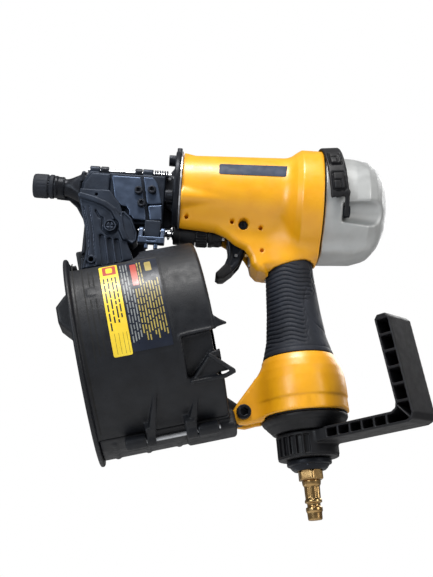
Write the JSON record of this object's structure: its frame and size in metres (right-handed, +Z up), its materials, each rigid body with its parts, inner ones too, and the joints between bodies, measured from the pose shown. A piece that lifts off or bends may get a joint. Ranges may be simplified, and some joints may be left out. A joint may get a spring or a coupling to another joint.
{
  "type": "coil siding nailer",
  "caption": "Pneumatic nail gun: yellow body, driver and sleeve inside, contact trip, trigger, hinged nose gate, tilted drum magazine, rubber grip and swivelling rafter hook.",
  "frame": {"origin": "centre of the driving axis on the exhaust cap's flat rear face", "axes": "+X along the driving axis from the nose to the exhaust cap, +Z up with the handle hanging down, -Y towards the tool's left side, where the gate opens"},
  "size_m": [0.2941, 0.15, 0.2833],
  "materials": {
    "yellow_paint": "satin yellow-orange paint on a magnesium casting",
    "grey_casting": "bead-blasted cast aluminium",
    "machined_aluminium": "machined aluminium",
    "bright_steel": "bright steel",
    "blackened_steel": "blackened cast or machined steel",
    "blue_steel": "blue-grey heat-treated steel",
    "brass": "bare brass",
    "black_plastic": "fine-grained black moulded nylon",
    "grip_rubber": "dark blue-grey rubber",
    "seal_rubber": "black nitrile"
  },
  "bodies": {
    "tool": {"housing": "yellow_paint", "cylinder_sleeve": "machined_aluminium", "bumper": "seal_rubber", "exhaust_cap": "grey_casting", "cap_gasket": "seal_rubber", "exhaust_deflector": "black_plastic", "cap_bolt_1": "blackened_steel", "cap_bolt_2": "blackened_steel", "cap_bolt_3": "blackened_steel", "nose_body": "blackened_steel", "nose_gasket": "machined_aluminium", "nose_bolt_1": "blackened_steel", "nose_bolt_2": "blackened_steel", "nose_bolt_3": "blackened_steel", "head_valve_spring": "bright_steel", "gate_hinge_pin": "bright_steel", "gate_spring": "bright_steel", "trip_guide": "black_plastic", "trip_spring": "bright_steel", "trigger_pin": "bright_steel", "trigger_valve_body": "machined_aluminium", "rubber_grip": "grip_rubber", "end_cap": "black_plastic", "end_cap_gasket": "seal_rubber", "hook_retainer": "blackened_steel", "air_plug": "brass", "magazine_base": "black_plastic", "cover_hinge_pin": "bright_steel", "arm_bolt": "blackened_steel", "arm_nut": "blackened_steel", "magazine_screw_1": "blackened_steel", "magazine_screw_2": "blackened_steel", "feed_cylinder": "machined_aluminium", "feed_spring": "bright_steel"},
    "driver": {"piston": "machined_aluminium", "piston_ring": "seal_rubber", "driver_blade": "bright_steel"},
    "head_valve": {"head_valve": "black_plastic"},
    "trigger": {"trigger": "blackened_steel", "lever_pin": "bright_steel"},
    "trigger_lever": {"trigger_lever": "bright_steel"},
    "valve_stem": {"trigger_valve_stem": "brass"},
    "contact_trip": {"contact_foot": "blackened_steel", "no_mar_tip": "grip_rubber", "trip_rod": "bright_steel"},
    "depth_wheel": {"depth_wheel": "black_plastic"},
    "feed_piston": {"feed_piston": "bright_steel", "pawl_pin": "bright_steel"},
    "feed_pawl": {"feed_pawl": "bright_steel"},
    "gate": {"gate": "blackened_steel", "gate_plate_front": "blue_steel", "gate_plate_rear": "blue_steel", "gate_screw_1": "blackened_steel", "gate_screw_2": "blackened_steel", "gate_screw_3": "blackened_steel", "latch_pin": "bright_steel"},
    "gate_latch": {"gate_latch": "blue_steel"},
    "magazine_cover": {"magazine_cover": "black_plastic"},
    "nail_platform": {"nail_platform": "black_plastic"},
    "rafter_hook": {"rafter_hook": "black_plastic"}
  },
  "joints": [
    {"name": "driver_stroke", "type": "slide", "parent": "tool", "child": "driver", "axis": [-1, 0, 0], "range_m": [0, 0.078]},
    {"name": "head_valve_lift", "type": "slide", "parent": "tool", "child": "head_valve", "axis": [1, 0, 0], "range_m": [0, 0.004], "stiffness_N_per_m": 1500, "springref_m": -0.003, "deforming": ["head_valve_spring"]},
    {"name": "trigger_pull", "type": "hinge", "parent": "tool", "child": "trigger", "pos_m": [-0.1078, 0, -0.028], "axis": [0, -1, 0], "range_deg": [0, 11], "stiffness_Nm_per_rad": 0.6, "springref_deg": -11.46},
    {"name": "trigger_lever_swing", "type": "hinge", "parent": "trigger", "child": "trigger_lever", "pos_m": [-0.1116, 0, -0.0492], "axis": [0, 1, 0], "range_deg": [0, 16]},
    {"name": "valve_stem_slide", "type": "slide", "parent": "tool", "child": "valve_stem", "axis": [1, 0, 0], "range_m": [0, 0.003]},
    {"name": "contact_trip_slide", "type": "slide", "parent": "tool", "child": "contact_trip", "axis": [1, 0, 0], "range_m": [0, 0.01], "stiffness_N_per_m": 700, "springref_m": -0.006, "deforming": ["trip_spring"]},
    {"name": "depth_wheel_turn", "type": "hinge", "parent": "tool", "child": "depth_wheel", "pos_m": [-0.138, 0, -0.033], "axis": [1, 0, 0], "continuous": true},
    {"name": "feed_stroke", "type": "slide", "parent": "tool", "child": "feed_piston", "axis": [0, 0, -1], "range_m": [0, 0.01], "stiffness_N_per_m": 600, "springref_m": -0.005, "deforming": ["feed_spring"]},
    {"name": "feed_pawl_swing", "type": "hinge", "parent": "feed_piston", "child": "feed_pawl", "pos_m": [-0.2, 0.0108, -0.0155], "axis": [1, 0, 0], "range_deg": [-20, 0], "stiffness_Nm_per_rad": 0.02, "springref_deg": 17.19},
    {"name": "gate_swing", "type": "hinge", "parent": "tool", "child": "gate", "pos_m": [-0.2, -0.0095, 0.0115], "axis": [1, 0, 0], "range_deg": [-100, 0], "stiffness_Nm_per_rad": 0.1, "springref_deg": 51.57},
    {"name": "gate_latch_swing", "type": "hinge", "parent": "gate", "child": "gate_latch", "pos_m": [-0.175, -0.0173, -0.038], "axis": [1, 0, 0], "range_deg": [-28, 0], "stiffness_Nm_per_rad": 0.06, "springref_deg": 22.92},
    {"name": "cover_swing", "type": "hinge", "parent": "tool", "child": "magazine_cover", "pos_m": [-0.15298, -0.04512, -0.19464], "axis": [0.9659, 0, 0.2588], "range_deg": [0, 95]},
    {"name": "platform_slide", "type": "slide", "parent": "tool", "child": "nail_platform", "axis": [0.9659, 0, 0.2588], "range_m": [-0.028, 0]},
    {"name": "rafter_hook_turn", "type": "hinge", "parent": "tool", "child": "rafter_hook", "pos_m": [-0.05301, 0, -0.18824], "axis": [-0.1357, 0, 0.9907], "range_deg": [-45, 135]}
  ],
  "couplings": [
    {"joint": "trigger_lever_swing", "follows": "contact_trip_slide", "rad_per_m": 27},
    {"joint": "valve_stem_slide", "follows": "trigger_pull", "m_per_rad": 0.015}
  ]
}
